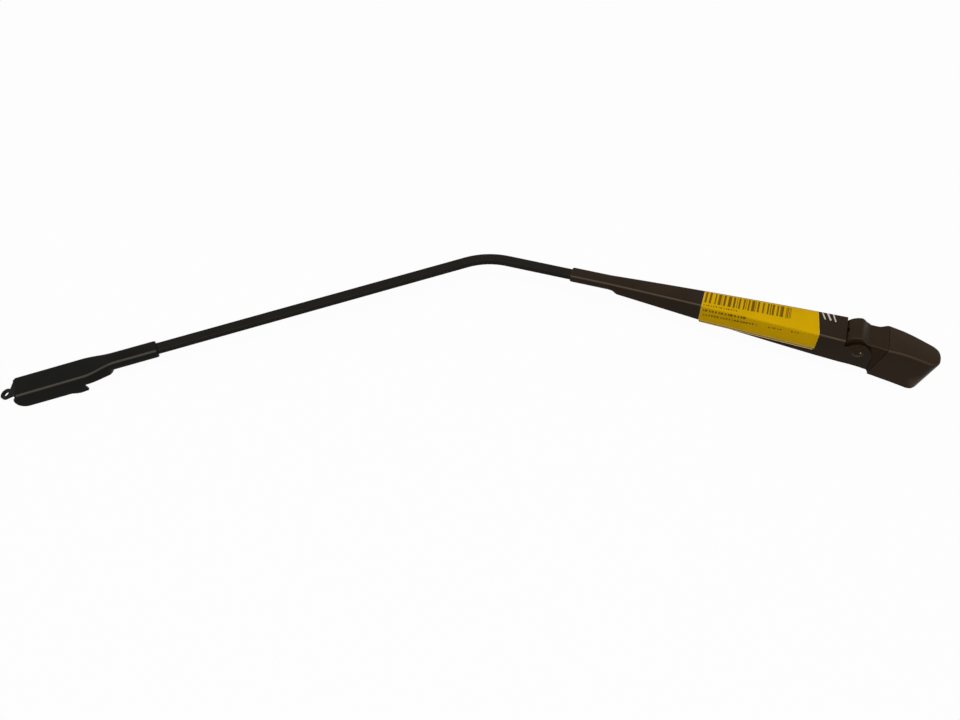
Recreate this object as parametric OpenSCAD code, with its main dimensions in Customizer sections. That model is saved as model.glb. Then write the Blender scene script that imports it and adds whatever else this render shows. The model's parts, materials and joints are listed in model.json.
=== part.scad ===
// Cranked wiper arm for a car windscreen.
// The origin is on the spindle axis, at the underside of the mounting head. +Z runs up the spindle,
// away from the car, and +X runs along the folded channel, from the spindle towards the blade.
// The arm is drawn in its own frame, with the hinge pin's axis as its Y axis, and is then tipped by the rake.

/* [Rod] */
// Width of the flat steel rod
rod_w = 8.6; // [7:0.1:9]
// Thickness of the rod
rod_t = 4.4; // [3.6:0.1:4.8]
// Radius rolled on the rod's four long edges
rod_edge_r = 0.7; // [0.3:0.1:1.2]
// Angle that the elbow turns the rod
elbow_angle = 39.3; // [10:0.1:50]
// Radius of the elbow on the rod's centre line
elbow_r = 50; // [30:1:80]
// From the crimped end of the channel to the corner of the elbow
rod_inner_len = 72; // [50:1:120]
// From the corner of the elbow to the crimped end of the blade clip
rod_outer_len = 269; // [120:1:330]

/* [Arm channel] */
// Length of the channel's top, from its cut edge at the hinge to its crimped end
channel_len = 212.4; // [200:0.1:260]
// Width over the channel's side flanges at the hinge
channel_w = 26.8; // [25:0.1:30]
// Thickness of the channel's sheet steel
sheet_t = 1.4; // [1:0.1:1.6]
// Outer radius of the folds along the channel's top
fold_r = 1.8; // [1.8:0.1:2.4]
// Depth of the side flanges at the hinge
flange_hinge_d = 22.8; // [21:0.1:25]
// Depth of the side flanges where the crimp begins
flange_crimp_d = 9.4; // [8.5:0.1:11]
// Length of the crimp that holds the rod
crimp_len = 31; // [20:1:36]
// Length over which the flange edges roll under into the crimp
roll_len = 9; // [6:1:14]
// Length of each lip that is folded under the rod
lip_len = 1.6; // [1:0.1:2]
// Rise of the channel's top above a straight line, at its middle
bow = 0.9; // [0:0.1:2]

/* [Hinge] */
// From the cut edge of the channel's top back to the hinge pin
pin_back = 10.7; // [10.6:0.1:12]
// From the channel's top down to the hinge pin
pin_drop = 9.3; // [9:0.1:10]
// Diameter of the hinge pin
pin_d = 5.8; // [5:0.1:6]
// Radius of the round ears on the flanges
ear_r = 9.9; // [9:0.1:10.4]
// Depth of the ears' centre below the hinge pin
ear_drop = 2; // [0:0.1:3]
// How much deeper the flanges reach behind the hinge pin
ear_depth = 2; // [0:0.1:3]
// Height above the hinge pin of the step between the ear and the cut edge
ear_step = 3.3; // [1:0.1:5]
// Radius of the head's knuckle
knuckle_r = 13; // [12.6:0.1:13]
// Gap between the knuckle's end and the ear, which the bush flange fills
bush_flange_t = 0.9; // [0.6:0.1:1.2]
// Outer diameter of the hinge bushes
bush_d = 8; // [7.6:0.1:8.2]
// Running clearance on the radius of a turning pin
pin_clear = 0.05; // [0.03:0.01:0.08]
// Slope of the arm down towards the blade
rake = 2; // [0:0.1:4]

/* [Head] */
// Height of the channel's top at the hinge above the head's underside
arm_top_h = 34; // [34:0.1:37]
// From the spindle to the hinge pin
spindle_to_pin = 35.8; // [35:0.1:38]
// Offset of the arm's centre line from the spindle
arm_offset = -2; // [-3:0.1:0]
// Height of the head's top above the hinge pin
head_rise = 8.9; // [8:0.1:9.4]
// Drop of the neck's top behind the hump
neck_drop = 0.6; // [0:0.1:2]
// Step from the cap's sides in to the neck's sides
cap_step_in = 0.6; // [0.3:0.1:1.5]
// Radius along the head's top edges
head_edge_r = 0.9; // [0.6:0.1:1.4]
// Diameter of the spindle boss
boss_d = 18.4; // [17:0.1:18.6]
// Height of the nut seat on the boss
seat_h = 14; // [12:0.1:16]
// Diameter of the hole that the spindle's thread passes through
thread_hole_d = 8.3; // [8.1:0.1:9]
// Diameter of the tapered socket at the head's underside
socket_d = 11.6; // [10.6:0.1:12.4]
// Diameter of the tapered socket at its inner end
socket_top_d = 10; // [9.2:0.1:10.5]
// Depth of the tapered socket
socket_h = 9; // [7:0.1:9.5]

/* [Spindle cap] */
// Wall thickness of the plastic cap
cap_t = 1.5; // [1.2:0.1:1.6]
// From the cut edge of the channel's top back to the front of the cap
cap_back = 30.2; // [29:0.1:31]
// Width of the cap at its front
cap_w = 27.3; // [26.8:0.1:28.5]
// Length of the cap's top
cap_len = 38.6; // [34:0.1:42]
// Height of the cap's lower edge above the head's underside, at its closed end
cap_edge_h = 0.3; // [0.2:0.1:2]
// Rise of the cap's lower edge from its closed end to its front
cap_edge_rise = 4.8; // [2:0.1:6]
// Radius of the lower corners at the cap's closed end
cap_heel_r = 4.5; // [2:0.1:6]
// Angle by which the cap's front leans forward towards its lower edge
cap_front_lean = 13.2; // [8:0.1:15]
// Radius along the cap's top edges
cap_round = 2.2; // [2:0.1:3]
// Angle by which the near side flares outwards
cap_near_angle = 4.1; // [2:0.1:6]
// Angle by which the far side runs inwards
cap_far_angle = 15.5; // [12:0.1:19]
// Angle by which the cap's end leans in towards its lower edge
cap_end_draft = 17; // [10:0.5:19]

/* [Spring] */
// Diameter of the spring wire
wire_d = 1.7; // [1.4:0.1:1.8]
// Outer diameter of the spring's coils
coil_d = 8.6; // [8:0.1:8.8]
// Pitch of the coils with the spring stretched in place
coil_pitch = 2.6; // [2.2:0.1:4]
// From the hinge pin to the spring anchor pin
anchor_dist = 7.2; // [7:0.1:7.6]
// Angle of the anchor pin below the level through the hinge pin
anchor_angle = 35; // [30:1:38]
// Diameter of the spring anchor pin
anchor_d = 3.8; // [3.4:0.1:4]
// Thickness of the spring hook's plate
hook_t = 3.2; // [2.6:0.1:3.6]
// From the hinge pin to the hole in the rod's end, along the arm
rod_hole_x = 144.3; // [135:0.1:150]
// Diameter of the hole in the rod's end
rod_hole_d = 5.2; // [5:0.1:5.4]
// Drop of the cranked end of the rod inside the channel
crank_drop = 5; // [4.6:0.1:5.4]

/* [Blade clip] */
// Thickness of the clip's sheet steel
clip_t = 1.8; // [1.4:0.1:1.9]
// Outer width of the clip
clip_w = 20; // [18:0.1:22]
// Length of the clip, from its crimped end to the bend of its tongue
clip_len = 104; // [98:1:120]
// Length of the clip's crimp
clip_crimp_len = 31; // [24:1:34]
// Inner radius of the crimp's curled edges
clip_roll_r = 1.6; // [0.8:0.1:1.8]
// Angle of the crimp's curled edges, whose lips press up on the rod
clip_roll_angle = 120; // [90:1:125]
// Length over which the clip's crimp rolls open
clip_roll_len = 7; // [5:0.5:9]
// Length over which the clip widens
clip_flare_len = 24; // [18:1:28]
// Depth of the clip's flanges, below the top of its crimp
clip_d = 15.7; // [13:0.1:17]
// Depth of the flanges along the flare
clip_flare_d = 10.4; // [9.4:0.1:10.8]
// Length of the catch, from its tip to the plain lower edge
catch_len = 12.3; // [11:0.1:14]
// How far the catch reaches below the clip's flanges
catch_drop = 1.7; // [1.2:0.1:3]
// Outer radius of the clip's folds
clip_fold_r = 2.1; // [2:0.1:2.6]
// Drop of the clip's top along the flare
clip_step = 1.3; // [0:0.1:2]
// Further drop of the clip's top towards its end
clip_fall = 1; // [0:0.1:2]
// Outer radius of the ring at the end of the tongue
ring_r = 4.4; // [4:0.1:6]
// Diameter of the hole in the ring
ring_hole_d = 4.2; // [3.6:0.1:5.4]
// Angle that the tongue is bent down
tongue_angle = 15; // [5:1:40]
// From the tongue's bend to the middle of its ring
tongue_reach = 6.8; // [5:0.1:10]
// Offset of the ring from the clip's middle, towards the near side
ring_y = 2.6; // [0:0.1:3.4]
// How far the flanges reach past the tongue's bend
flange_past = 2.4; // [0:0.1:4]

/* [Label] */
// Length of the paper label
label_len = 86.5; // [70:0.5:92]
// From the channel's cut edge at the hinge to the label
label_x = 20.8; // [16:0.1:26]
// Depth that the label reaches down the near flange
label_d = 15.6; // [12:0.1:15.8]
// Thickness of the label
label_t = 0.15; // [0.1:0.05:0.3]

/* [Hidden] */
$fn = 64;
paint = "#24211e";
steel = "#8d9094";
grip = 0.05;
fold_steps = 5;
big = 60;

// Hinge pin in the head's frame
pin_h = arm_top_h - pin_drop;
pin_len = channel_w + 0.8;
knuckle_w = channel_w - 2 * sheet_t - 2 * bush_flange_t - 4 * pin_clear;
slot_w = hook_t + 1.2;

// Along the arm, from the hinge pin
channel_end = pin_back + channel_len;
crimp_x = channel_end - crimp_len;
roll_x = crimp_x - roll_len;
crimp_hw = rod_w / 2 + grip + sheet_t;
crimp_h = rod_t + 2 * sheet_t + 2 * grip;
rod_z = pin_drop - sheet_t - grip - rod_t / 2;
elbow_x = channel_end + rod_inner_len;
elbow_tan = elbow_r * tan(elbow_angle / 2);

function sum_to(v, i) = i < 0 ? 0 : v[i] + sum_to(v, i - 1);
function smooth(u) = u <= 0 ? 0 : u >= 1 ? 1 : (1 - cos(180 * u)) / 2;
function mix(a, b, u) = a + (b - a) * u;
function flip(v) = [for (i = [len(v) - 1:-1:0]) v[i]];
function unit(v) = v / norm(v);

// One half of a folded strip's section, at the depth e below its outer skin. A section is
// [half width, top, roll start, roll angle, fold radius, sheet, lip, roll radius, full roll angle]. The roll has
// a fixed arc length, so that its angle can go from a flat flange at 0 to a lip folded under at the full angle.
function roll_arc(s) = (s[7] + s[5] / 2) * PI * s[8] / 180;
// Height of the roll's centre at its full angle, above the lip's seat
function roll_seat(s) = s[7] * sin(s[8]) + s[6] * cos(s[8]);
function half_section(s, e) =
    let (angle = max(s[3], 0.02), r = roll_arc(s) * 180 / PI / angle, cy = s[0] - s[5] / 2 - r)
    let (rim = r + s[5] / 2 - e)
    let (fold = [for (i = [0:fold_steps]) let (a = 90 - 90 * i / fold_steps)
        [s[0] - s[4] + (s[4] - e) * cos(a), s[1] - s[4] + (s[4] - e) * sin(a)]])
    let (roll = [for (i = [0:4]) let (a = -angle * i / 4) [cy + rim * cos(a), s[2] + rim * sin(a)]])
    let (tip = roll[4] + s[6] * [-sin(angle), -cos(angle)])
    concat(fold, roll, [tip]);
// The same section with its outer skin taken down by c
function chamfered(s, c) = [s[0] - c, s[1] - c, s[2], s[3], s[4] - c, s[5] - c, s[6], s[7], s[8]];
function strip_ring(x, s) =
    let (outer = half_section(s, 0), inner = half_section(s, s[5]))
    concat(
        [for (p = flip(outer)) [x, p[0], p[1]]],
        [for (p = outer) [x, -p[0], p[1]]],
        [for (p = flip(inner)) [x, -p[0], p[1]]],
        [for (p = inner) [x, p[0], p[1]]]
    );

// Solid through a row of rings that all have the same even number of points. Both of its ends are closed by
// strips between the first and the second half of the ring.
function quad(a, b, c, d) = [[a, b, c], [a, c, d]];
function end_strips(first, n, turned) = [for (j = [0:n / 2 - 2]) each turned
    ? quad(first + n - 1 - j, first + n - 2 - j, first + j + 1, first + j)
    : quad(first + j, first + j + 1, first + n - 2 - j, first + n - 1 - j)];
module loft(rings) {
    n = len(rings[0]);
    m = len(rings);
    polyhedron(
        points = [for (ring = rings) for (p = ring) p],
        faces = concat(
            end_strips(0, n, false),
            end_strips((m - 1) * n, n, true),
            [for (i = [0:m - 2], j = [0:n - 1]) let (k = (j + 1) % n) each
                quad(i * n + j, (i + 1) * n + j, (i + 1) * n + k, i * n + k)]
        ),
        convexity = 8
    );
}

// Round bar or pin along Y, centred at the origin
module cross_rod(d, length) {
    rotate([90, 0, 0])
        cylinder(d = d, h = length, center = true);
}

// Flat outline drawn in X and Z, given its thickness along Y
module cross_plate(thickness) {
    rotate([90, 0, 0])
        linear_extrude(thickness, center = true)
            children();
}

// Places a child in the arm's frame
module arm_frame() {
    translate([spindle_to_pin, arm_offset, pin_h])
        rotate([0, rake, 0])
            children();
}

// Places a child in the blade clip's frame, at the crimped end of the clip
module clip_frame() {
    arm_frame()
        translate([elbow_x, 0, rod_z])
            rotate([0, 0, elbow_angle])
                translate([rod_outer_len, 0, rod_t / 2 + grip + clip_t])
                    children();
}

// Arm channel: a tapering strip folded into an upturned trough, with its flanges rolled under the rod
function channel_u(x) = (x - pin_back) / (roll_x - pin_back);
function channel_hw(x) = x < pin_back ? channel_w / 2 : mix(channel_w / 2, crimp_hw, min(1, (x - pin_back) / (crimp_x - pin_back)));
function channel_top(x) = pin_drop + bow * 4 * max(0, x - pin_back) * max(0, crimp_x - x) / pow(crimp_x - pin_back, 2);
function channel_d(x) = x < pin_back ? flange_hinge_d + ear_depth * pow((pin_back - x) / (pin_back + ear_r), 2) : flange_hinge_d - (flange_hinge_d - flange_crimp_d) * pow(min(1, channel_u(x)), 1.35);
function channel_section(x) =
    let (u = smooth((x - roll_x) / roll_len), s = [channel_hw(x), channel_top(x), 0, 90 * u, fold_r, sheet_t, lip_len, 0.8, 90])
    let (flat = s[1] - channel_d(x) + roll_arc(s) + lip_len, rolled = s[1] - crimp_h + sheet_t + roll_seat(s))
    [s[0], s[1], mix(flat, rolled, u), s[3], s[4], s[5], s[6], s[7], s[8]];
// Behind the cut edge the flanges stand higher than the ears, which are then cut out of them
function ear_blank(s) = [s[0], s[1] + ear_r, s[2], s[3], s[4], s[5], s[6], s[7], s[8]];

module arm_channel() {
    rear = -ear_r;
    taper_steps = 10;
    roll_steps = 6;
    color(paint) arm_frame() difference() {
        loft(concat(
            [for (i = [0:4]) let (x = mix(rear, pin_back - 1.5, i / 4)) strip_ring(x, ear_blank(channel_section(x)))],
            [for (i = [0:taper_steps]) let (x = mix(pin_back - 0.5, roll_x, i / taper_steps)) strip_ring(x, channel_section(x))],
            [for (i = [1:roll_steps]) let (x = roll_x + roll_len * i / roll_steps) strip_ring(x, channel_section(x))],
            [for (i = [1:3]) let (x = mix(crimp_x, channel_end - 1.2, i / 3)) strip_ring(x, channel_section(x))],
            [strip_ring(channel_end, chamfered(channel_section(channel_end), 0.5))]
        ));
        // Everything behind the cut edge goes, except the round ears, a low step in front of them and the flanges below
        cross_plate(2 * big) difference() {
            translate([-big, 0])
                square([big + pin_back, big]);
            translate([0, -ear_drop])
                circle(r = ear_r);
            translate([0, -1])
                square([big, ear_step + 1]);
        }
        cross_rod(pin_d, 2 * big);
    }
}

// Rod: flat bar with a flat elbow, and an inner end cranked down to the spring
module bar_section(w, h) {
    r = rod_edge_r;
    square([w - 2 * r, h], center = true);
    square([w, h - 2 * r], center = true);
    for (sx = [-1, 1], sy = [-1, 1])
        translate([sx * (w / 2 - r), sy * (h / 2 - r)])
            circle(r = r, $fn = 24);
}
module bar(length) {
    rotate([90, 0, 90])
        linear_extrude(length)
            bar_section(rod_w, rod_t);
}

module rod() {
    crank_r = 9;
    crank_angle = 30;
    slope_len = (crank_drop - 2 * crank_r * (1 - cos(crank_angle))) / sin(crank_angle);
    low_end = rod_hole_x + rod_hole_d / 2 + 2;
    crank_x = low_end + 2 * crank_r * sin(crank_angle) + slope_len * cos(crank_angle);
    hole_edge = 2;
    tail = rod_hole_x - rod_hole_d / 2 - hole_edge;
    color(paint) arm_frame() {
        translate([crank_x, 0, rod_z])
            bar(elbow_x - elbow_tan - crank_x);
        translate([elbow_x - elbow_tan, elbow_r, rod_z])
            rotate([0, 0, -90])
                rotate_extrude(angle = elbow_angle, $fn = 360)
                    translate([elbow_r, 0])
                        bar_section(rod_w, rod_t);
        translate([elbow_x, 0, rod_z])
            rotate([0, 0, elbow_angle])
                translate([elbow_tan, 0, 0])
                    bar(rod_outer_len - elbow_tan + clip_crimp_len - 1);
        // Upper and lower bends of the crank, with the slope between them
        translate([crank_x, 0, rod_z - crank_r])
            rotate([90, 0, 0])
                rotate([0, 0, 90])
                    rotate_extrude(angle = crank_angle)
                        translate([crank_r, 0])
                            bar_section(rod_t, rod_w);
        translate([low_end, 0, rod_z - crank_drop + crank_r])
            rotate([90, 0, 0])
                rotate([0, 0, -90])
                    rotate_extrude(angle = crank_angle)
                        translate([crank_r, 0])
                            bar_section(rod_t, rod_w);
        translate([low_end + crank_r * sin(crank_angle), 0, rod_z - crank_drop + crank_r * (1 - cos(crank_angle))])
            rotate([0, -crank_angle, 0])
                bar(slope_len);
        difference() {
            translate([tail, 0, rod_z - crank_drop])
                bar(low_end - tail);
            translate([rod_hole_x, 0, rod_z - crank_drop])
                cylinder(d = rod_hole_d, h = 2 * rod_t, center = true);
        }
    }
}

// Blade clip: a folded trough with catches cut in its flanges and a ring on its bent tongue
clip_hw = rod_w / 2 + grip + clip_t;
clip_crimp_h = rod_t + 2 * clip_t + 2 * grip;
clip_flare_x = clip_crimp_len + clip_flare_len;
function clip_top(x) =
    -clip_step * smooth((x - clip_crimp_len) / clip_flare_len) - clip_fall * max(0, (x - clip_crimp_len) / (clip_len - clip_crimp_len));
function clip_section(x, depth) =
    let (u = 1 - smooth((x - clip_crimp_len) / clip_roll_len), w = smooth((x - clip_crimp_len) / clip_flare_len))
    let (s = [mix(clip_hw, clip_w / 2, w), clip_top(x), 0, clip_roll_angle * u, clip_fold_r, clip_t, lip_len, clip_roll_r, clip_roll_angle])
    let (flat = -depth + roll_arc(s) + lip_len, rolled = s[1] - clip_crimp_h + clip_t + roll_seat(s))
    [s[0], s[1], mix(flat, rolled, u), s[3], s[4], s[5], s[6], s[7], s[8]];

// Side outline of what is cut from below the clip's flanges: a notch, a catch that points at the crimp,
// the straight lower edge and the rounded end corner
module clip_cut() {
    edge = -clip_flare_d;
    low = -clip_d;
    notch_r = 0.7;
    notch_x = clip_flare_x + 2.2 - notch_r;
    tip_x = clip_flare_x + 0.6;
    end_r = 8;
    end_x = clip_len + flange_past;
    bend_x = clip_len - 0.3;
    under_fold = clip_top(clip_len) - clip_fold_r - 0.3;
    polygon(concat(
        [[clip_crimp_len + 5.5, -big], [clip_crimp_len + 5.5, edge - 0.15]],
        [for (i = [0:4]) let (a = 90 - 30 * i) [notch_x + notch_r * cos(a), edge - 0.15 - notch_r + notch_r * sin(a)]],
        [[tip_x, low - 0.5], [tip_x + 0.6, low - 1.1], [tip_x + catch_len / 2, low - catch_drop]],
        [[tip_x + catch_len - 3, low - catch_drop + 0.6], [tip_x + catch_len, low]],
        [for (i = [0:6]) let (a = -90 + 15 * i) [end_x - end_r + end_r * cos(a), low + end_r + end_r * sin(a)]],
        [[end_x, under_fold - 1.5], [end_x - 1.5, under_fold], [bend_x, under_fold], [bend_x, 5], [end_x + 5, 5], [end_x + 5, -big]]
    ));
}

module blade_clip() {
    flare_steps = 10;
    color(paint) clip_frame() {
        difference() {
            loft(concat(
                [strip_ring(0, chamfered(clip_section(0, 0), 0.4))],
                [for (x = [1.2, clip_crimp_len / 2, clip_crimp_len]) strip_ring(x, clip_section(x, 0))],
                [for (i = [1:6]) let (x = clip_crimp_len + clip_roll_len * i / 6) strip_ring(x, clip_section(x, clip_flare_d))],
                [for (i = [4:flare_steps]) let (x = clip_crimp_len + clip_flare_len * i / flare_steps)
                    strip_ring(x, clip_section(x, clip_d + catch_drop + 2))],
                [let (x = clip_len + flange_past + 1) strip_ring(x, clip_section(x, clip_d + catch_drop + 2))]
            ));
            cross_plate(2 * big)
                clip_cut();
        }
        tongue();
    }
}

module tongue() {
    root_w = clip_w - 2 * clip_fold_r - 0.3;
    reach = tongue_reach;
    translate([clip_len - 0.3, 0, clip_top(clip_len) - clip_t]) {
        cross_rod(2 * clip_t, root_w);
        rotate([0, tongue_angle, 0]) {
            linear_extrude(clip_t) difference() {
                union() {
                    polygon([[0, 0.4 - root_w / 2], [reach - 0.8 * ring_r, ring_y - 0.6 * ring_r], [reach, ring_y],
                        [reach, ring_y + ring_r], [0, root_w / 2 - 0.4]]);
                    translate([reach, ring_y])
                        circle(r = ring_r);
                }
                translate([reach, ring_y])
                    circle(d = ring_hole_d);
            }
        }
    }
}

// Paper label, stuck over the channel's top and folded down its near flange
module paper_label() {
    gap = 0.04;
    steps = 6;
    function skin(x, e) =
        let (hw = channel_hw(x), top = channel_top(x), bottom = pin_drop - label_d + 0.15 * (pin_back + label_x + label_len - x) / 100)
        concat(
            [[x, -hw + fold_r, top + e]],
            [for (i = [0:fold_steps]) let (a = 90 - 90 * i / fold_steps)
                [x, hw - fold_r + (fold_r + e) * cos(a), top - fold_r + (fold_r + e) * sin(a)]],
            [[x, hw + e, bottom]]
        );
    color("#c9a002") arm_frame()
        loft([for (i = [0:steps]) let (x = pin_back + label_x + label_len * i / steps)
            concat(flip(skin(x, gap + label_t)), skin(x, gap))]);
}

// Hinge pin: a rivet with a domed head at each end
module hinge_pin() {
    head_r = 4.8;
    head_h = 1.9;
    dome_r = (head_r * head_r + head_h * head_h) / (2 * head_h);
    color(paint) arm_frame() {
        cross_rod(pin_d, channel_w);
        for (side = [0, 180])
            rotate([90, 0, side])
                translate([0, 0, channel_w / 2])
                    intersection() {
                        translate([0, 0, head_h - dome_r])
                            sphere(r = dome_r);
                        cylinder(r = head_r, h = head_h);
                    }
    }
}

// Hinge bush: a flanged sleeve pressed into one cheek of the knuckle
module hinge_bush(side) {
    translate([spindle_to_pin, arm_offset, pin_h])
        scale([1, 1, 1])
            rotate([-90 * side, 0, 0])
                difference() {
                    union() {
                        translate([0, 0, slot_w / 2])
                            cylinder(d = bush_d, h = knuckle_w / 2 - slot_w / 2);
                        translate([0, 0, knuckle_w / 2])
                            cylinder(d = bush_d + 5, h = bush_flange_t);
                    }
                    cylinder(d = pin_d + 2 * pin_clear, h = big);
                }
}
module hinge_bush_near() {
    color("#e4e0d2") hinge_bush(1);
}
module hinge_bush_far() {
    color("#e4e0d2") hinge_bush(-1);
}

// Spring anchor: where the anchor pin lies in the head, and the hook's line from it to the rod's end
anchor_x = spindle_to_pin - anchor_dist * cos(anchor_angle);
anchor_z = pin_h - anchor_dist * sin(anchor_angle);
loop_r = 4.4;
wire_seat = 0.7;
spring_x = rod_hole_x + wire_seat;
spring_z = rod_z - crank_drop;
pull_x = spindle_to_pin + spring_x * cos(rake) + spring_z * sin(rake) - anchor_x;
pull_z = pin_h - spring_x * sin(rake) + spring_z * cos(rake) - anchor_z;
pull_len = norm([pull_x, pull_z]);
pull_tilt = -atan2(pull_z, pull_x);

// Places a child in the hook's frame, with its origin on the anchor pin and X along the spring's pull
module hook_frame() {
    translate([anchor_x, arm_offset, anchor_z])
        rotate([0, pull_tilt, 0])
            children();
}

module spring_anchor_pin() {
    color(steel) translate([anchor_x, arm_offset, anchor_z])
        cross_rod(anchor_d, knuckle_w - 1);
}

// Spring hook: a flat C that passes round the hinge pin, from the anchor pin to the spring
hook_eye_r = 3.3;
hook_bar = 3.8;
hook_inner_x0 = 2.4;
hook_inner_x1 = 20.6;
hook_inner_r = 4;
hook_inner_z = -10.2;
hook_hole_x = 42.5;
hook_hole_d = 3.2;

// Rounded slab of the C, from its open top down to z, between x0 and x1
module c_slab(x0, x1, z, r) {
    translate([x0, z + r])
        square([x1 - x0, -z - r]);
    translate([x0 + r, z])
        square([x1 - x0 - 2 * r, r]);
    for (x = [x0 + r, x1 - r])
        translate([x, z + r])
            circle(r = r);
}
module spring_hook() {
    color(steel) hook_frame() cross_plate(hook_t) difference() {
        union() {
            circle(r = hook_eye_r);
            intersection() {
                difference() {
                    c_slab(-2.6, hook_inner_x1 + hook_bar, hook_inner_z - hook_bar, hook_inner_r + hook_bar);
                    c_slab(hook_inner_x0, hook_inner_x1, hook_inner_z, hook_inner_r);
                }
                translate([-big, -big])
                    square([2 * big, big]);
            }
            translate([hook_inner_x1, -2.2])
                square([hook_hole_x - hook_inner_x1, 4.4]);
            translate([hook_hole_x, 0])
                circle(r = 2.9);
            translate([hook_inner_x1 + hook_bar / 2, 0])
                circle(r = 2.2);
        }
        circle(d = anchor_d + 2 * pin_clear);
        translate([hook_hole_x, 0])
            circle(d = hook_hole_d);
    }
}

// Tension spring: one wire, swept along the coils and the loop at each end.
// Each point of its route is [point, outward direction].
coil_r = (coil_d - wire_d) / 2;
hook_loop_r = 4.1;
hook_loop_x = hook_hole_x + hook_hole_d / 2 - wire_d / 2 - 0.1 + hook_loop_r;
rod_loop_x = pull_len - loop_r;
coil_x0 = hook_loop_x + hook_loop_r - 0.6;
coil_x1 = rod_loop_x - loop_r + 0.6;
coil_turns = round((coil_x1 - coil_x0) / coil_pitch);
coil_sides = 6;
turn_steps = 12;

function helix_at(a) =
    let (out = [0, sin(a), cos(a)])
    [[coil_x0 + (coil_x1 - coil_x0) * a / 360 / coil_turns, 0, 0] + coil_r * out, out];
// Loop at the rod, in the X and Z plane, and loop at the hook, in the X and Y plane
function rod_loop_at(a) = [[rod_loop_x + loop_r * cos(a), 0, loop_r * sin(a)], [cos(a), 0, sin(a)]];
function hook_loop_at(a) = [[hook_loop_x + hook_loop_r * cos(a), hook_loop_r * sin(a), 0], [cos(a), sin(a), 0]];
// Smooth bend between two points of the route, with their directions of travel
function bend(p, dp, q, dq, steps) = [for (i = [1:steps - 1]) let (u = i / steps)
    [(2 * pow(u, 3) - 3 * u * u + 1) * p[0] + (pow(u, 3) - 2 * u * u + u) * dp
        + (3 * u * u - 2 * pow(u, 3)) * q[0] + (pow(u, 3) - u * u) * dq, mix(p[1], q[1], u)]];

module tension_spring() {
    lead = 60;
    last = 360 * coil_turns - lead;
    helix = [for (a = [lead:360 / turn_steps:last]) helix_at(a)];
    end_out = helix[len(helix) - 1][1];
    hook_loop = [for (a = [-150:20:50]) hook_loop_at(a)];
    rod_loop = [for (a = [130:-20:-150]) rod_loop_at(a)];
    first_bend = bend(hook_loop[len(hook_loop) - 1], 5 * [-sin(50), cos(50), 0],
        helix[0], 5 * [0, cos(lead), -sin(lead)], 5);
    last_bend = bend(helix[len(helix) - 1], 5 * [0, end_out[2], -end_out[1]],
        rod_loop[0], 5 * [sin(130), 0, -cos(130)], 5);
    color(steel) hook_frame()
        wire(concat(hook_loop, first_bend, helix, last_bend, rod_loop));
}

module wire(route) {
    n = len(route);
    function travel(i) = unit(route[min(n - 1, i + 1)][0] - route[max(0, i - 1)][0]);
    loft([for (i = [0:n - 1])
        let (t = travel(i), out = unit(route[i][1] - (route[i][1] * t) * t), side = cross(t, out))
        [for (k = [0:coil_sides - 1]) let (a = 360 * k / coil_sides)
            route[i][0] + wire_d / 2 * (cos(a) * out + sin(a) * side)]]);
}

// Mounting head: a die casting with a slotted knuckle, a neck and the spindle boss
cap_front = spindle_to_pin + pin_back - cap_back;
head_top = pin_h + head_rise;
cap_y = arm_offset - 0.65;

// Neck sections along X: [x, half width, middle in Y, top, bottom, lean]
function neck_ring(s) =
    let (r = head_edge_r, y0 = s[2] - s[1], y1 = s[2] + s[1])
    let (outline = concat(
        [for (i = [0:4]) let (a = 22.5 * i) [y1 - r + r * cos(a), s[3] - r + r * sin(a)]],
        [for (i = [0:4]) let (a = 90 + 22.5 * i) [y0 + r + r * cos(a), s[3] - r + r * sin(a)]],
        [[y0, s[4]], [y1, s[4]]]
    ))
    [for (p = outline) [s[0] + s[5] * (s[3] - p[1]), p[0], p[1]]];

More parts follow.
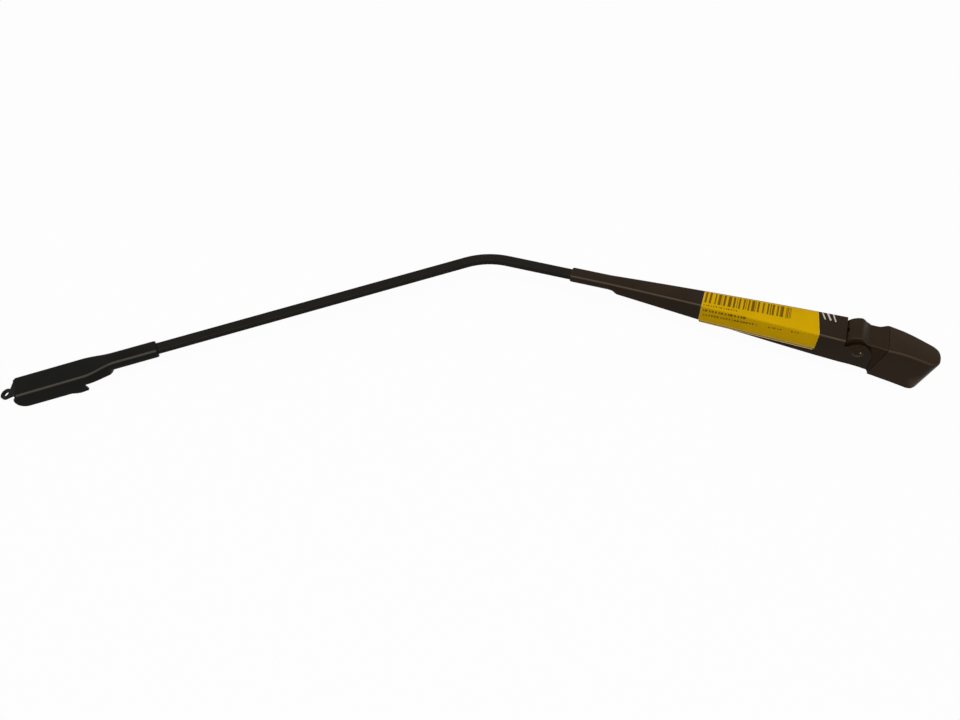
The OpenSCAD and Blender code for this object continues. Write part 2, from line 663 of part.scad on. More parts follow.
module mounting_head() {
    top = head_top;
    valley = top - neck_drop;
    hump_x = spindle_to_pin + 2;
    hump_top = pin_h + sqrt(knuckle_r * knuckle_r - pow(hump_x - spindle_to_pin, 2));
    valley_x = spindle_to_pin - 5.8;
    knuckle_low = pin_h - knuckle_r + 0.5;
    flare_len = 8.5;
    under_w = cap_w / 2 - cap_t - 2.4;
    seat_gap = 0.3;
    shoulder_drop = 9;
    // Neck between the cap and the hump. It widens towards the cap, and its end leans as the cap's front does.
    function neck_at(x, top, low) =
        let (u = (x - cap_front) / (valley_x - cap_front), w = 1 - smooth((x - cap_front) / flare_len))
        neck_ring([x, mix(knuckle_w / 2, cap_w / 2 - cap_step_in, w), mix(arm_offset, cap_y, w), top, low, tan(cap_front_lean) * (1 - u)]);
    color(paint) difference() {
        union() {
            // Knuckle, with its top behind the hump given over to the neck
            translate([spindle_to_pin, arm_offset, pin_h]) difference() {
                rotate([90, 0, 0]) rotate_extrude() knuckle_profile();
                translate([hump_x - spindle_to_pin - big, -big, -3])
                    cube([big, 2 * big, big]);
            }
            loft(concat(
                [for (i = [0:7]) let (u = i / 8, x = mix(cap_front + 0.4, valley_x, u))
                    neck_at(x, mix(top, valley, smooth(2 * u)), mix(6, knuckle_low, u))],
                [for (i = [0:8]) let (u = i / 8, x = mix(valley_x, hump_x, u))
                    neck_ring([x, knuckle_w / 2, arm_offset, mix(valley, hump_top, smooth(u)), knuckle_low, 0])]
            ));
            // Under the cap the neck steps in, runs down to the boss and carries the nut seat
            loft([
                neck_ring([boss_d / 2 - 3, boss_d / 2 - 3, 0, seat_h - 0.5, 0, 0]),
                neck_ring([boss_d / 2 - 0.6, boss_d / 2 - 1, 0, seat_h, 0, 0]),
                neck_ring([boss_d / 2 + 1.5, boss_d / 2, cap_y / 2, top - shoulder_drop, 0, 0]),
                neck_ring([cap_front - 4, under_w, arm_offset, top - cap_t - seat_gap, 0, 0]),
                neck_ring([cap_front + 8, under_w, arm_offset, top - cap_t - seat_gap, 9.5, 0])
            ]);
            cylinder(d = boss_d, h = seat_h);
        }
        // Spindle socket, thread hole and the flat seat of the nut
        translate([0, 0, -0.01])
            cylinder(d1 = socket_d, d2 = socket_top_d, h = socket_h);
        cylinder(d = thread_hole_d, h = big);
        translate([0, 0, seat_h])
            cylinder(r = boss_d / 2 - 1, h = big);
        // The boss is cut flat along the cap's far side
        translate([cap_front, cap_y - cap_w / 2 + cap_t + seat_gap + 1, -1])
            rotate([0, 0, 180 - cap_far_angle])
                cube([big, big, seat_h + 1.1]);
        translate([spindle_to_pin, arm_offset, pin_h]) {
            cross_rod(bush_d, 2 * big);
            hook_slot();
        }
        translate([anchor_x, arm_offset, anchor_z])
            cross_rod(anchor_d, knuckle_w - 1);
    }
}

// Half outline of the knuckle, turned about the pin, with rounded end edges
module knuckle_profile() {
    r = head_edge_r;
    for (side = [-1, 1]) mirror([0, side < 0 ? 1 : 0]) {
        square([knuckle_r, knuckle_w / 2 - r]);
        square([knuckle_r - r, knuckle_w / 2]);
        translate([knuckle_r - r, knuckle_w / 2 - r])
            circle(r = r, $fn = 32);
    }
}

// Slot for the hook, closed by a roof over the top of the knuckle
module hook_slot() {
    roof_r = bush_d / 2 + 2;
    roof_angle = 45;
    back = anchor_dist * cos(anchor_angle) + hook_eye_r + 0.8;
    cross_plate(slot_w) {
        circle(r = roof_r);
        translate([-back, -big])
            square([back + big, big]);
        difference() {
            square([big, big]);
            rotate([0, 0, roof_angle])
                square([2 * big, 2 * big]);
        }
    }
}

// Spindle cap: a moulded hood, drawn as a grid of points from its front rim to its closed end
cap_rise = 0.5;
cap_rise_len = 9;
cap_drop = 2.7;
// The cap's top rises a little behind its front and then falls to its closed end
function cap_crown(x) = let (back = cap_front - x)
    cap_rise * smooth(back / cap_rise_len) - cap_drop * smooth((back - cap_rise_len) / (cap_len - cap_rise_len + 2));
cap_steps = 12;
cap_corner = 8;
cap_near_corner = 9.5;
cap_top0 = head_top;
function cap_near(x, e) = cap_y + cap_w / 2 - e + (cap_front - x) * tan(cap_near_angle);
function cap_far(x, e) = cap_y - cap_w / 2 + e + (cap_front - x) * tan(cap_far_angle);
// Plan of the closed end: how far a side moves in, d from the tip, round a corner of radius r
function corner_in(d, r) = d >= r ? 0 : r - sqrt(max(0, r * r - pow(r - d, 2)));
function cap_low(u) = let (d = mix(0.25, cap_len, pow(1 - u, 1.6)))
    cap_edge_h + cap_edge_rise * d / cap_len + corner_in(d, cap_heel_r);
function cap_ring(u, e) =
    let (tip = cap_front - cap_len + e, d = mix(0.25, cap_front - tip, pow(1 - u, 1.6)), x = tip + d)
    let (y1 = cap_near(x, e) - corner_in(d, cap_near_corner - e), y0 = cap_far(x, e) + corner_in(d, cap_corner - e))
    let (r = max(0.3, cap_round - e), top = cap_top0 + cap_crown(x) - e - corner_in(d, 3.2 - e) * 0.8)
    let (lean = tan(cap_end_draft) * pow(u, 2), front = tan(cap_front_lean) * pow(1 - u, 3))
    let (outline = concat(
        [[y1, cap_low(u)]],
        [for (i = [0:4]) let (a = 22.5 * i) [y1 - r + r * cos(a), top - r + r * sin(a)]],
        [for (i = [1:2]) [mix(y1 - r, y0 + r, i / 3), top + 0.25]],
        [for (i = [0:4]) let (a = 90 + 22.5 * i) [y0 + r + r * cos(a), top - r + r * sin(a)]],
        [[y0, cap_low(u)]]
    ))
    [for (p = outline) [x + (lean + front) * (cap_top0 - p[1]), p[0], p[1]]];

module spindle_cap() {
    outer = [for (i = [0:cap_steps]) cap_ring(i / cap_steps, 0)];
    inner = [for (i = [0:cap_steps]) cap_ring(i / cap_steps, cap_t)];
    n = len(outer[0]);
    m = cap_steps + 1;
    function o(i, j) = i * n + j;
    function q(i, j) = m * n + i * n + j;
    color(paint) polyhedron(
        points = [for (ring = concat(outer, inner)) for (p = ring) p],
        faces = concat(
            [for (i = [0:m - 2], j = [0:n - 2]) each quad(o(i, j), o(i, j + 1), o(i + 1, j + 1), o(i + 1, j))],
            [for (i = [0:m - 2], j = [0:n - 2]) each quad(q(i, j), q(i + 1, j), q(i + 1, j + 1), q(i, j + 1))],
            [for (j = [0:n - 2]) each quad(o(0, j), q(0, j), q(0, j + 1), o(0, j + 1))],
            [for (i = [0:m - 2]) each quad(o(i, 0), o(i + 1, 0), q(i + 1, 0), q(i, 0))],
            [for (i = [0:m - 2]) each quad(o(i + 1, n - 1), o(i, n - 1), q(i, n - 1), q(i + 1, n - 1))],
            end_strips(o(m - 1, 0), n, false),
            end_strips(q(m - 1, 0), n, true),
            [each quad(o(m - 1, 0), o(m - 1, n - 1), q(m - 1, n - 1), q(m - 1, 0))]
        ),
        convexity = 6
    );
}

mounting_head();
spindle_cap();
hinge_pin();
hinge_bush_near();
hinge_bush_far();
spring_anchor_pin();
spring_hook();
tension_spring();
arm_channel();
rod();
blade_clip();
paper_label();
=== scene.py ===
import json
from math import cos, radians, sin

import bpy
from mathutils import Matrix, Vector

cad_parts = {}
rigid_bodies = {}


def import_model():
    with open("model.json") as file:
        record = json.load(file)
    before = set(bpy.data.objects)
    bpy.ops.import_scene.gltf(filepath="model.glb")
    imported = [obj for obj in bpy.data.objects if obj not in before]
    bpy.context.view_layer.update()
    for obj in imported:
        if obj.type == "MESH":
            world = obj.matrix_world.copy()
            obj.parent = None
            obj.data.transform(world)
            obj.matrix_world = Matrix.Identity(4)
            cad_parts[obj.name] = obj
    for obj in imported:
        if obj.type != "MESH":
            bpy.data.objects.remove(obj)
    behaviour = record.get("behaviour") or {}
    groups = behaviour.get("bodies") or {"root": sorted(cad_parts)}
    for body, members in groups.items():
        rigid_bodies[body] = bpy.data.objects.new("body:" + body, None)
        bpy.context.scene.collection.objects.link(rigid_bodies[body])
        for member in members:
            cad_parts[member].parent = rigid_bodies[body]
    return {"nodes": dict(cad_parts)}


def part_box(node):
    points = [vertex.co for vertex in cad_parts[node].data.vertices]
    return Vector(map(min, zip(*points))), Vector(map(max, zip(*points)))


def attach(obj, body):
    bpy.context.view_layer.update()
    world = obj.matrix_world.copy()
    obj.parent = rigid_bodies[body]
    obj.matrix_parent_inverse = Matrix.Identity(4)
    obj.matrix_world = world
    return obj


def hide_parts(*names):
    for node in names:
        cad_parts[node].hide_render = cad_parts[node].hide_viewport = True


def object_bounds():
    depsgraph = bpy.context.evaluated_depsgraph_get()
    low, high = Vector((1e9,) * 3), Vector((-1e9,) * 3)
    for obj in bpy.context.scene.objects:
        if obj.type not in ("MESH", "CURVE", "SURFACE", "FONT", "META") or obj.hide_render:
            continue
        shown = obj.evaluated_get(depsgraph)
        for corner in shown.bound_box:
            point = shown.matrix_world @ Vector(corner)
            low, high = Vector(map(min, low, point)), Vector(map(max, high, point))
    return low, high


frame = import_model()
cad_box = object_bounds()

# Camera: it stands on the side that the elbow turns the rod to, looks down at 50 degrees and sees the
# arm from the cap on the right to the blade clip on the left.
camera_data = bpy.data.cameras.new("camera")
camera_data.lens = 33.75
camera_data.sensor_width = 36
camera_data.clip_start = 0.01
camera = bpy.data.objects.new("camera", camera_data)
camera.location = (0.1606, 0.5127, 0.5336)
camera.rotation_euler = (radians(40), 0, radians(198.897))
bpy.context.collection.objects.link(camera)
bpy.context.scene.camera = camera
bpy.context.scene.view_settings.view_transform = "Standard"


# Studio: a floor just under the arm's lowest point and a surround, which the camera and reflections see
# as white, a wide soft lamp above the camera and a weak one behind. A small share of the floor stays
# matt and keeps the shadow.
def new_material(name):
    material = bpy.data.materials.new(name)
    material.use_nodes = True
    nodes = material.node_tree.nodes
    nodes.clear()
    return material, nodes, material.node_tree.links


def finish_with(piece, material):
    piece.data.materials.clear()
    piece.data.materials.append(material)


def deselect_all():
    for item in bpy.data.objects:
        item.select_set(False)


def math_node(nodes, links, operation, *values):
    node = nodes.new("ShaderNodeMath")
    node.operation = operation
    for socket, value in zip(node.inputs, values):
        if isinstance(value, (int, float)):
            socket.default_value = value
        else:
            links.new(value, socket)
    return node.outputs[0]


def any_of(nodes, links, masks):
    found = masks[0]
    for mask in masks[1:]:
        found = math_node(nodes, links, "MAXIMUM", found, mask)
    return found


def seen_share(nodes, links):
    paths = nodes.new("ShaderNodeLightPath")
    rays = ("Is Camera Ray", "Is Glossy Ray", "Is Transmission Ray")
    return any_of(nodes, links, [paths.outputs[ray] for ray in rays])


def mixed_surface(nodes, links, share, unseen, seen, output):
    mixed = nodes.new("ShaderNodeMixShader")
    links.new(share, mixed.inputs["Fac"])
    links.new(unseen.outputs[0], mixed.inputs[1])
    links.new(seen.outputs[0], mixed.inputs[2])
    links.new(mixed.outputs[0], output.inputs["Surface"])


deselect_all()
floor_gap = 0.0004
bpy.ops.mesh.primitive_plane_add(size=20, location=(0.3, 0.1, cad_box[0][2] - floor_gap))
floor = bpy.context.active_object
floor.name = "floor"
bpy.ops.object.mode_set(mode="EDIT")
bpy.ops.mesh.subdivide(number_cuts=3)
bpy.ops.object.mode_set(mode="OBJECT")
floor_white, nodes, links = new_material("floor_white")
output = nodes.new("ShaderNodeOutputMaterial")
matt = nodes.new("ShaderNodeBsdfDiffuse")
matt.inputs["Color"].default_value = (0.5, 0.5, 0.5, 1)
glow = nodes.new("ShaderNodeEmission")
glow.inputs["Color"].default_value = (1, 1, 1, 1)
glow.inputs["Strength"].default_value = 1.0
glow_share = 0.97
share = math_node(nodes, links, "MULTIPLY", seen_share(nodes, links), glow_share)
mixed_surface(nodes, links, share, matt, glow, output)
finish_with(floor, floor_white)

world = bpy.data.worlds.new("surround")
bpy.context.scene.world = world
world.use_nodes = True
nodes = world.node_tree.nodes
links = world.node_tree.links
nodes.clear()
output = nodes.new("ShaderNodeOutputWorld")
seen = nodes.new("ShaderNodeBackground")
seen.inputs["Color"].default_value = (1, 1, 1, 1)
seen.inputs["Strength"].default_value = 1.0
lit = nodes.new("ShaderNodeBackground")
lit.inputs["Color"].default_value = (1.0, 0.97, 0.93, 1)
lit.inputs["Strength"].default_value = 0.22
mixed_surface(nodes, links, seen_share(nodes, links), lit, seen, output)


def add_lamp(name, place, target, width, height, power, colour):
    data = bpy.data.lights.new(name, "AREA")
    data.shape = "RECTANGLE"
    data.size = width
    data.size_y = height
    data.energy = power
    data.color = colour
    lamp = bpy.data.objects.new(name, data)
    lamp.location = place
    way = Vector(target) - Vector(place)
    lamp.rotation_euler = way.to_track_quat("-Z", "Y").to_euler()
    bpy.context.collection.objects.link(lamp)


middle_of_arm = (0.25, 0.1, 0)
add_lamp("key", (0.25, 0.58, 1.65), middle_of_arm, 1.9, 0.8, 28, (1.0, 0.96, 0.9))
add_lamp("fill", (0.25, -1.8, 0.6), middle_of_arm, 1.6, 0.8, 4, (1.0, 0.97, 0.93))


# Mounting head: a zinc die casting, painted satin black, that clamps on the wiper spindle and carries
# the hinge in its slotted knuckle. Its paint has a fine grain, broad uneven patches and rubbed edges, and
# a paler line along its folds that is a painted highlight. The later paints use the same grain with values of
# their own.
def noise_node(nodes, links, vector, scale, detail, rough=0.5):
    node = nodes.new("ShaderNodeTexNoise")
    node.inputs["Scale"].default_value = scale
    node.inputs["Detail"].default_value = detail
    node.inputs["Roughness"].default_value = rough
    links.new(vector, node.inputs["Vector"])
    return node


def range_node(nodes, links, value, low, high, to_low, to_high):
    node = nodes.new("ShaderNodeMapRange")
    node.inputs["From Min"].default_value = low
    node.inputs["From Max"].default_value = high
    node.inputs["To Min"].default_value = to_low
    node.inputs["To Max"].default_value = to_high
    links.new(value, node.inputs["Value"])
    return node.outputs["Result"]


def colour_mix(nodes, links, mask, under, over):
    node = nodes.new("ShaderNodeMix")
    node.data_type = "RGBA"
    node.inputs["B"].default_value = (*over, 1)
    if isinstance(under, tuple):
        node.inputs["A"].default_value = (*under, 1)
    else:
        links.new(under, node.inputs["A"])
    links.new(mask, node.inputs["Factor"])
    return node.outputs["Result"]


surface_grain = bpy.data.node_groups.new("surface_grain", "ShaderNodeTree")
for name in ("Vector", "Normal"):
    surface_grain.interface.new_socket(name, in_out="INPUT", socket_type="NodeSocketVector")
for name, value in (("Fine Scale", 1500.0), ("Broad Scale", 60.0), ("Edge Width", 0.0006)):
    socket = surface_grain.interface.new_socket(name, in_out="INPUT", socket_type="NodeSocketFloat")
    socket.default_value = value
for name in ("Fine", "Broad", "Edge", "Fold Highlight"):
    surface_grain.interface.new_socket(name, in_out="OUTPUT", socket_type="NodeSocketFloat")
nodes, links = surface_grain.nodes, surface_grain.links
entry = nodes.new("NodeGroupInput")
leave = nodes.new("NodeGroupOutput")
fine = noise_node(nodes, links, entry.outputs["Vector"], 1500, 2)
links.new(entry.outputs["Fine Scale"], fine.inputs["Scale"])
links.new(fine.outputs["Fac"], leave.inputs["Fine"])
broad = noise_node(nodes, links, entry.outputs["Vector"], 60, 4, 0.6)
links.new(entry.outputs["Broad Scale"], broad.inputs["Scale"])
links.new(broad.outputs["Fac"], leave.inputs["Broad"])

# An edge is where the rounded normal leaves the face's own, and a fold is where the surface leans
# sideways. The fold mask lays a painted highlight along the lengthwise folds.
rounded = nodes.new("ShaderNodeBevel")
rounded.samples = 4
links.new(entry.outputs["Edge Width"], rounded.inputs["Radius"])
facing = nodes.new("ShaderNodeNewGeometry")
match = nodes.new("ShaderNodeVectorMath")
match.operation = "DOT_PRODUCT"
links.new(rounded.outputs["Normal"], match.inputs[0])
links.new(facing.outputs["Normal"], match.inputs[1])
edge_start, edge_full = 0.97, 0.86
edge = range_node(nodes, links, match.outputs["Value"], edge_start, edge_full, 0, 1)
links.new(edge, leave.inputs["Edge"])
tilt = nodes.new("ShaderNodeSeparateXYZ")
links.new(entry.outputs["Normal"], tilt.inputs[0])
lean = math_node(nodes, links, "MULTIPLY", tilt.outputs["Y"], tilt.outputs["Z"])
either_side = math_node(nodes, links, "ABSOLUTE", lean)
fold_start, fold_full = 0.18, 0.46
fold_highlight = range_node(nodes, links, either_side, fold_start, fold_full, 0, 1)
links.new(fold_highlight, leave.inputs["Fold Highlight"])


def grained_finish(name, dark, light, edge_colour, rough, fine_scale, bump, edge_share, metallic=0.0,
                   specular=0.1, gleam=(1.0, 0.82, 0.6), fold_highlight_colour=None):
    material, nodes, links = new_material(name)
    output = nodes.new("ShaderNodeOutputMaterial")
    shader = nodes.new("ShaderNodeBsdfPrincipled")
    shader.inputs["Metallic"].default_value = metallic
    shader.inputs["Specular IOR Level"].default_value = specular
    shader.inputs["Specular Tint"].default_value = (*gleam, 1)
    place = nodes.new("ShaderNodeTexCoord")
    grain = nodes.new("ShaderNodeGroup")
    grain.node_tree = surface_grain
    grain.inputs["Fine Scale"].default_value = fine_scale
    grain.inputs["Broad Scale"].default_value = 45
    grain.inputs["Edge Width"].default_value = 0.0005
    links.new(place.outputs["Object"], grain.inputs["Vector"])
    patches = range_node(nodes, links, grain.outputs["Broad"], 0.35, 0.65, 0, 1)
    colour = colour_mix(nodes, links, patches, dark, light)
    worn = math_node(nodes, links, "MULTIPLY", grain.outputs["Edge"], edge_share)
    colour = colour_mix(nodes, links, worn, colour, edge_colour)
    # The fold colour is a painted highlight, laid where the surface leans sideways along the folds.
    if fold_highlight_colour:
        links.new(place.outputs["Normal"], grain.inputs["Normal"])
        colour = colour_mix(nodes, links, grain.outputs["Fold Highlight"], colour, fold_highlight_colour)
    links.new(colour, shader.inputs["Base Color"])
    sheen = range_node(nodes, links, grain.outputs["Broad"], 0.3, 0.7, rough - 0.05, rough + 0.07)
    links.new(sheen, shader.inputs["Roughness"])
    relief = nodes.new("ShaderNodeBump")
    relief.inputs["Strength"].default_value = 1.0
    relief.inputs["Distance"].default_value = bump
    links.new(grain.outputs["Fine"], relief.inputs["Height"])
    links.new(relief.outputs["Normal"], shader.inputs["Normal"])
    links.new(shader.outputs[0], output.inputs["Surface"])
    return material


def only(piece):
    deselect_all()
    piece.select_set(True)
    bpy.context.view_layer.objects.active = piece


def smooth_copy(node, name, body, material, angle=32, edge=0.00025, segments=2, flat=0.1):
    piece = bpy.data.objects.new(name, frame["nodes"][node].data.copy())
    bpy.context.collection.objects.link(piece)
    only(piece)
    bpy.ops.object.mode_set(mode="EDIT")
    bpy.ops.mesh.select_all(action="SELECT")
    bpy.ops.mesh.remove_doubles(threshold=0.000004)
    bpy.ops.mesh.dissolve_limited(angle_limit=radians(flat))
    bpy.ops.mesh.select_all(action="DESELECT")
    bpy.ops.object.mode_set(mode="OBJECT")
    if edge:
        rounding = piece.modifiers.new("rounding", "BEVEL")
        rounding.width = edge
        rounding.segments = segments
        rounding.limit_method = "ANGLE"
        rounding.angle_limit = radians(angle)
        rounding.use_clamp_overlap = True
        bpy.ops.object.modifier_apply(modifier="rounding")
    bpy.ops.object.shade_smooth_by_angle(angle=radians(angle))
    weighted = piece.modifiers.new("weighted", "WEIGHTED_NORMAL")
    weighted.keep_sharp = True
    bpy.ops.object.modifier_apply(modifier="weighted")
    finish_with(piece, material)
    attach(piece, body)
    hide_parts(node)
    return piece


# Head, hinge pin and cap share the lightest, brownest base of the black parts, and the base darkens through the
# channel and rod to near black at the clip: painted light, one black paint drawn lighter where the head end is
# lit more warmly.
head_paint = grained_finish("head_paint", (0.0165, 0.0090, 0.0040), (0.0195, 0.0110, 0.0050),
                            (0.06, 0.045, 0.032), 0.38, 1100, 0.000012, 0.4, specular=0.07,
                            # The fold colour below is a painted highlight along the head's folds.
                            fold_highlight_colour=(0.042, 0.029, 0.019))
smooth_copy("mounting_head", "cast_head", "head", head_paint, angle=30, edge=0.0005)

# Hinge bushes: flanged sleeves of off-white acetal, pressed into the knuckle from both sides. Only the
# thin rims of their flanges show, between the knuckle and the channel's ears.
bush_plastic = grained_finish("bush_plastic", (0.62, 0.59, 0.50), (0.70, 0.67, 0.58), (0.72, 0.70, 0.62),
                              0.42, 900, 0.000004, 0.2, specular=0.5)
smooth_copy("hinge_bush_near", "near_bush", "head", bush_plastic, edge=0.0001)
smooth_copy("hinge_bush_far", "far_bush", "head", bush_plastic, edge=0.0001)

# Spring anchor pin, spring hook and tension spring: zinc-plated steel under the channel. The hook turns on
# the pin, passes round the hinge and holds the spring, whose other loop sits in the rod's inner end.
plated = grained_finish("zinc_plate", (0.30, 0.30, 0.30), (0.42, 0.42, 0.41), (0.55, 0.55, 0.54),
                        0.38, 700, 0.000006, 0.4, metallic=1.0, specular=0.5, gleam=(1.0, 1.0, 1.0))
smooth_copy("spring_anchor_pin", "anchor_pin", "head", plated, edge=0.0002)
smooth_copy("spring_hook", "hook_plate", "hook", plated, edge=0.0003)
smooth_copy("tension_spring", "spring_wire", "hook", plated, angle=70, edge=0)

# Rod: a flat steel bar with rounded edges, bent flat at the elbow and painted satin black after bending.
# Its inner end lies in the channel, and the clip is folded round its outer end.
# Its base is darker than the channel's and lighter than the clip's: painted light, one black paint drawn darker
# where the arm is lit less.
rod_paint = grained_finish("rod_paint", (0.0026, 0.0018, 0.0008), (0.0042, 0.0030, 0.0016),
                           (0.03, 0.026, 0.02), 0.32, 1300, 0.000008, 0.3, specular=0.09,
                           gleam=(1.0, 0.95, 0.85))
smooth_copy("rod", "flat_rod", "arm", rod_paint, angle=35, edge=0)

# Arm channel: sheet steel folded into a tapering trough, crimped on the rod and painted satin black. Three
# separate dashes of a white paint pen cross its top between the label and the hinge.
pen_stroke = bpy.data.node_groups.new("pen_stroke", "ShaderNodeTree")
for name, kind in (("Vector", "NodeSocketVector"), ("Start", "NodeSocketVector"), ("End", "NodeSocketVector"),
                   ("Half Width", "NodeSocketFloat")):
    pen_stroke.interface.new_socket(name, in_out="INPUT", socket_type=kind)
pen_stroke.interface.new_socket("Mask", in_out="OUTPUT", socket_type="NodeSocketFloat")
nodes, links = pen_stroke.nodes, pen_stroke.links
entry = nodes.new("NodeGroupInput")
leave = nodes.new("NodeGroupOutput")


def vector_step(operation, first, second, result="Vector"):
    step = nodes.new("ShaderNodeVectorMath")
    step.operation = operation
    links.new(first, step.inputs[0])
    links.new(second, step.inputs["Scale"] if operation == "SCALE" else step.inputs[1])
    return step.outputs[result]


reach = vector_step("SUBTRACT", entry.outputs["Vector"], entry.outputs["Start"])
line = vector_step("SUBTRACT", entry.outputs["End"], entry.outputs["Start"])
part = math_node(nodes, links, "DIVIDE", vector_step("DOT_PRODUCT", reach, line, "Value"),
                 vector_step("DOT_PRODUCT", line, line, "Value"))
part.node.use_clamp = True
miss = vector_step("DISTANCE", reach, vector_step("SCALE", line, part), "Value")
frayed = noise_node(nodes, links, entry.outputs["Vector"], 2600, 2)
fray_depth = 0.0005
spread = math_node(nodes, links, "MULTIPLY_ADD", frayed.outputs["Fac"], fray_depth, miss)
inside = math_node(nodes, links, "SUBTRACT", entry.outputs["Half Width"], spread)
links.new(range_node(nodes, links, inside, -0.0003, -0.0001, 0, 1), leave.inputs["Mask"])


def paint_over(material, mask, colour):
    nodes, links = material.node_tree.nodes, material.node_tree.links
    shader = next(node for node in nodes if node.type == "BSDF_PRINCIPLED")
    below = shader.inputs["Base Color"].links[0].from_socket
    links.new(colour_mix(nodes, links, mask, below, colour), shader.inputs["Base Color"])


# Its base is darker than the head's and lighter than the rod's: painted light, one black paint drawn darker
# along the arm as the light falls off.
channel_paint = grained_finish("channel_paint", (0.0108, 0.0056, 0.0020), (0.0136, 0.0074, 0.0030),
                               (0.055, 0.043, 0.032), 0.36, 1300, 0.000010, 0.35, specular=0.1,
                               # The fold colour below is a painted highlight along the channel's folds.
                               fold_highlight_colour=(0.060, 0.046, 0.034))
nodes, links = channel_paint.node_tree.nodes, channel_paint.node_tree.links
place = nodes.new("ShaderNodeTexCoord")
seen_from_above = nodes.new("ShaderNodeVectorMath")
seen_from_above.operation = "MULTIPLY"
seen_from_above.inputs[1].default_value = (1, 1, 0)
links.new(place.outputs["Object"], seen_from_above.inputs[0])
up = nodes.new("ShaderNodeSeparateXYZ")
links.new(place.outputs["Normal"], up.inputs[0])
faces_up = range_node(nodes, links, up.outputs["Z"], 0.8, 0.9, 0, 1)
dashes = (((0.0655, -0.0128), (0.0632, -0.0070), 0.00055), ((0.0617, -0.0134), (0.0593, -0.0072), 0.00070),
          ((0.0577, -0.0138), (0.0555, -0.0068), 0.00055))
strokes = []
for start, end, half_width in dashes:
    stroke = nodes.new("ShaderNodeGroup")
    stroke.node_tree = pen_stroke
    stroke.inputs["Start"].default_value = (*start, 0)
    stroke.inputs["End"].default_value = (*end, 0)
    stroke.inputs["Half Width"].default_value = half_width
    links.new(seen_from_above.outputs["Vector"], stroke.inputs["Vector"])
    strokes.append(stroke.outputs["Mask"])
on_top = math_node(nodes, links, "MULTIPLY", any_of(nodes, links, strokes), faces_up)
paint_over(channel_paint, on_top, (0.55, 0.52, 0.47))
smooth_copy("arm_channel", "folded_channel", "arm", channel_paint, angle=28, edge=0.0002)


# Hinge pin: a steel rivet with a domed head at each end, painted with the arm. A small pale spot on the
# rim of its near head is a painted highlight for the glint on its dome, coloured like bare steel at a paint
# chip.
def spot(material, middle, inner, outer, colour, share):
    nodes, links = material.node_tree.nodes, material.node_tree.links
    place = nodes.new("ShaderNodeTexCoord")
    apart = nodes.new("ShaderNodeVectorMath")
    apart.operation = "DISTANCE"
    apart.inputs[1].default_value = middle
    links.new(place.outputs["Object"], apart.inputs[0])
    uneven = noise_node(nodes, links, place.outputs["Object"], 0.8 / outer, 3, 0.6)
    rim = math_node(nodes, links, "MULTIPLY_ADD", uneven.outputs["Fac"], outer, apart.outputs["Value"])
    mask = range_node(nodes, links, rim, inner + 0.5 * outer, 1.5 * outer, share, 0)
    paint_over(material, mask, colour)


# Its base is near the head's, lighter and browner than the rod's: painted light for the brighter head end.
rivet_paint = grained_finish("rivet_paint", (0.0155, 0.0084, 0.0036), (0.0185, 0.0104, 0.0046),
                             (0.06, 0.045, 0.032), 0.38, 1100, 0.000010, 0.3, specular=0.1)
# A painted highlight on the near head's rim, coloured like bare steel at a chip in the paint.
spot(rivet_paint, (0.0341, 0.0127, 0.0266), 0.0004, 0.0006, (0.42, 0.36, 0.28), 0.9)
smooth_copy("hinge_pin", "hinge_rivet", "arm", rivet_paint, angle=35, edge=0.0002)

# Blade clip: sheet steel folded round the rod's end and painted satin black, with a hooked catch in each
# flange and a bent tongue that ends in a ring.
# Its base is the darkest of the black parts, near black: painted shade for the least lit end of the arm.
clip_paint = grained_finish("clip_paint", (0.0006, 0.0006, 0.0003), (0.0016, 0.0016, 0.0010),
                            (0.032, 0.029, 0.024), 0.32, 1300, 0.000008, 0.3, specular=0.08,
                            # The fold colour below is a painted highlight along the clip's folds.
                            gleam=(1.0, 0.97, 0.88), fold_highlight_colour=(0.075, 0.069, 0.054))
smooth_copy("blade_clip", "folded_clip", "arm", clip_paint, angle=28, edge=0.0002)


# Label: thin yellow paper stuck over the channel's top and folded down its near flange. Its print is plain
# bars and rows of short dashes, laid on the flat sheet before it was folded. Its corners are rounded, and
# its end at the hinge is a little askew.
def sheet_place(point):
    droop = radians(2)
    forward, sideways, upward = point.x - 0.0358, point.y + 0.002, point.z - 0.0247
    along = forward * cos(droop) - upward * sin(droop)
    height = forward * sin(droop) + upward * cos(droop)
    top_start, top_end, top_length = 0.0107, 0.1921, 0.1814
    shoulder, bow, lift = 0.0093, 0.0036, 0.00019
    crown = shoulder + bow * (along - top_start) * (top_end - along) / top_length ** 2
    return along, sideways + crown + lift - height


def print_row(nodes, links, along, across, start, stop, far, near, module, least, spread, seed):
    def step(operation, *values):
        return math_node(nodes, links, operation, *values)

    cell = step("DIVIDE", along, module)
    chance = nodes.new("ShaderNodeTexWhiteNoise")
    chance.noise_dimensions = "1D"
    links.new(step("ADD", step("FLOOR", cell), seed), chance.inputs["W"])
    inked = step("LESS_THAN", step("FRACT", cell), step("MULTIPLY_ADD", chance.outputs["Value"], spread, least))
    inked = step("MULTIPLY", inked, step("COMPARE", along, (start + stop) / 2, (stop - start) / 2))
    return step("MULTIPLY", inked, step("COMPARE", across, (far + near) / 2, (near - far) / 2))


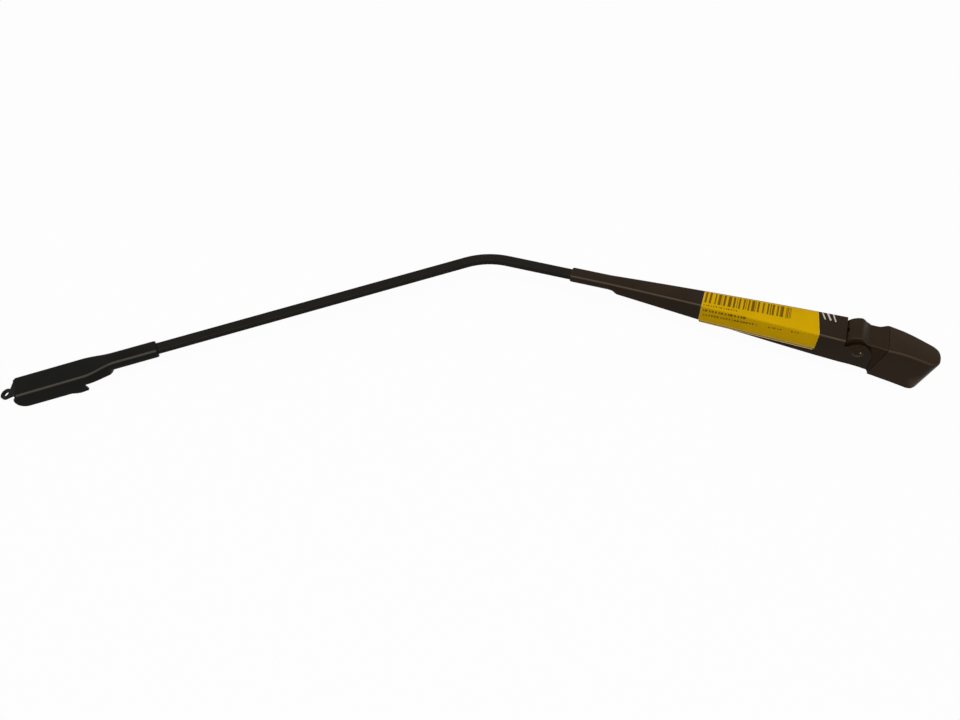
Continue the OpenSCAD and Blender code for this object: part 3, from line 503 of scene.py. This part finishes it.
label_paper = grained_finish("label_paper", (0.55, 0.332, 0.0004), (0.61, 0.372, 0.0006), (0.80, 0.68, 0.35),
                             0.6, 2200, 0.000005, 0.7, specular=0.03)
nodes, links = label_paper.node_tree.nodes, label_paper.node_tree.links
sheet = nodes.new("ShaderNodeUVMap")
sheet.uv_map = "sheet"
split = nodes.new("ShaderNodeSeparateXYZ")
links.new(sheet.outputs["UV"], split.inputs[0])
rows = [print_row(nodes, links, split.outputs["X"], split.outputs["Y"], *row) for row in (
    (0.0520, 0.1165, -0.0080, 0.0036, 0.0036, 0.22, 0.42, 3),
    (0.0520, 0.1165, -0.0080, 0.0036, 0.0023, -0.05, 0.50, 8),
    (0.0905, 0.1165, 0.0055, 0.0071, 0.0019, 0.30, 0.40, 11),
    (0.0830, 0.1160, 0.0109, 0.0131, 0.0024, 0.35, 0.50, 23),
    (0.0745, 0.1165, 0.0159, 0.0176, 0.0022, 0.20, 0.60, 37),
    (0.0560, 0.0662, 0.0160, 0.0175, 0.0021, 0.30, 0.45, 41),
    (0.0430, 0.0500, 0.0160, 0.0175, 0.0021, 0.25, 0.45, 47))]
ink_strength = 0.8
ink = math_node(nodes, links, "MULTIPLY", any_of(nodes, links, rows), ink_strength)
paint_over(label_paper, ink, (0.060, 0.022, 0.006))

label = smooth_copy("paper_label", "yellow_label", "arm", label_paper, angle=40, edge=0)
low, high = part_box("paper_label")
only(label)
bpy.ops.object.mode_set(mode="EDIT")
bpy.ops.mesh.select_all(action="DESELECT")
bpy.ops.object.mode_set(mode="OBJECT")
end_margin, far_margin, rim_margin = 0.002, 0.0005, 0.0045
thickness_limit = 0.0004
for side in label.data.edges:
    ends = [label.data.vertices[i].co for i in side.vertices]
    at_hinge = all(end.x < low[0] + end_margin for end in ends)
    at_rod = all(end.x > high[0] - end_margin for end in ends)
    through_paper = (ends[0] - ends[1]).length < thickness_limit
    at_far_edge = all(end.y < low[1] + far_margin for end in ends)
    at_rim = all(end.z < low[2] + rim_margin for end in ends)
    side.select = (at_hinge or at_rod) and through_paper and (at_far_edge or at_rim)
bpy.ops.object.mode_set(mode="EDIT")
bpy.ops.mesh.select_mode(type="EDGE")
bpy.ops.mesh.bevel(offset=0.0012, segments=4, affect="EDGES")
bpy.ops.object.mode_set(mode="OBJECT")
flange_taper = 0.046
for point in label.data.vertices:
    distance, width = sheet_place(point.co)
    fold_share = min(max((width + 0.002) / 0.0125, 0), 1)
    end_share = min(max((0.0455 - distance) / 0.014, 0), 1)
    skew = (0.0024 * fold_share - 0.0007) * end_share
    point.co += Vector((-skew, flange_taper * skew * fold_share, 0))
sheet_map = label.data.uv_layers.new(name="sheet")
print_slope, print_middle = 0.03, 0.075
for loop in label.data.loops:
    distance, width = sheet_place(label.data.vertices[loop.vertex_index].co)
    sheet_map.data[loop.index].uv = (distance, width - print_slope * (distance - print_middle))

# Spindle cap: a hood moulded in black plastic with a fine spark-eroded grain, which snaps over the boss and
# the spindle nut. Its near rear corner is paler and browner, and drawn in a little.
# Its base is the head's, lighter and browner than the rod's and clip's: painted light for the brighter head
# end.
cap_plastic = grained_finish("cap_plastic", (0.0165, 0.0090, 0.0040), (0.0195, 0.0110, 0.0050),
                             (0.06, 0.045, 0.032), 0.42, 1900, 0.000016, 0.3, specular=0.1,
                             # The fold colour below is a painted highlight along the hood's rounded edges.
                             fold_highlight_colour=(0.038, 0.026, 0.018))
# Paler and browner towards the near rear corner of the hood.
spot(cap_plastic, (-0.0145, 0.0125, 0.0090), 0.003, 0.010, (0.075, 0.045, 0.030), 0.85)
hood = smooth_copy("spindle_cap", "cap_hood", "head", cap_plastic, angle=30, edge=0)
hood_corner = Vector((-0.0122, 0.0126, 0.0009))
corner_reach = 0.0065
corner_shift = Vector((0.0009, -0.0009, 0.0017))
for point in hood.data.vertices:
    pull = max(0, 1 - (point.co - hood_corner).length / corner_reach) ** 1.5
    point.co += pull * corner_shift
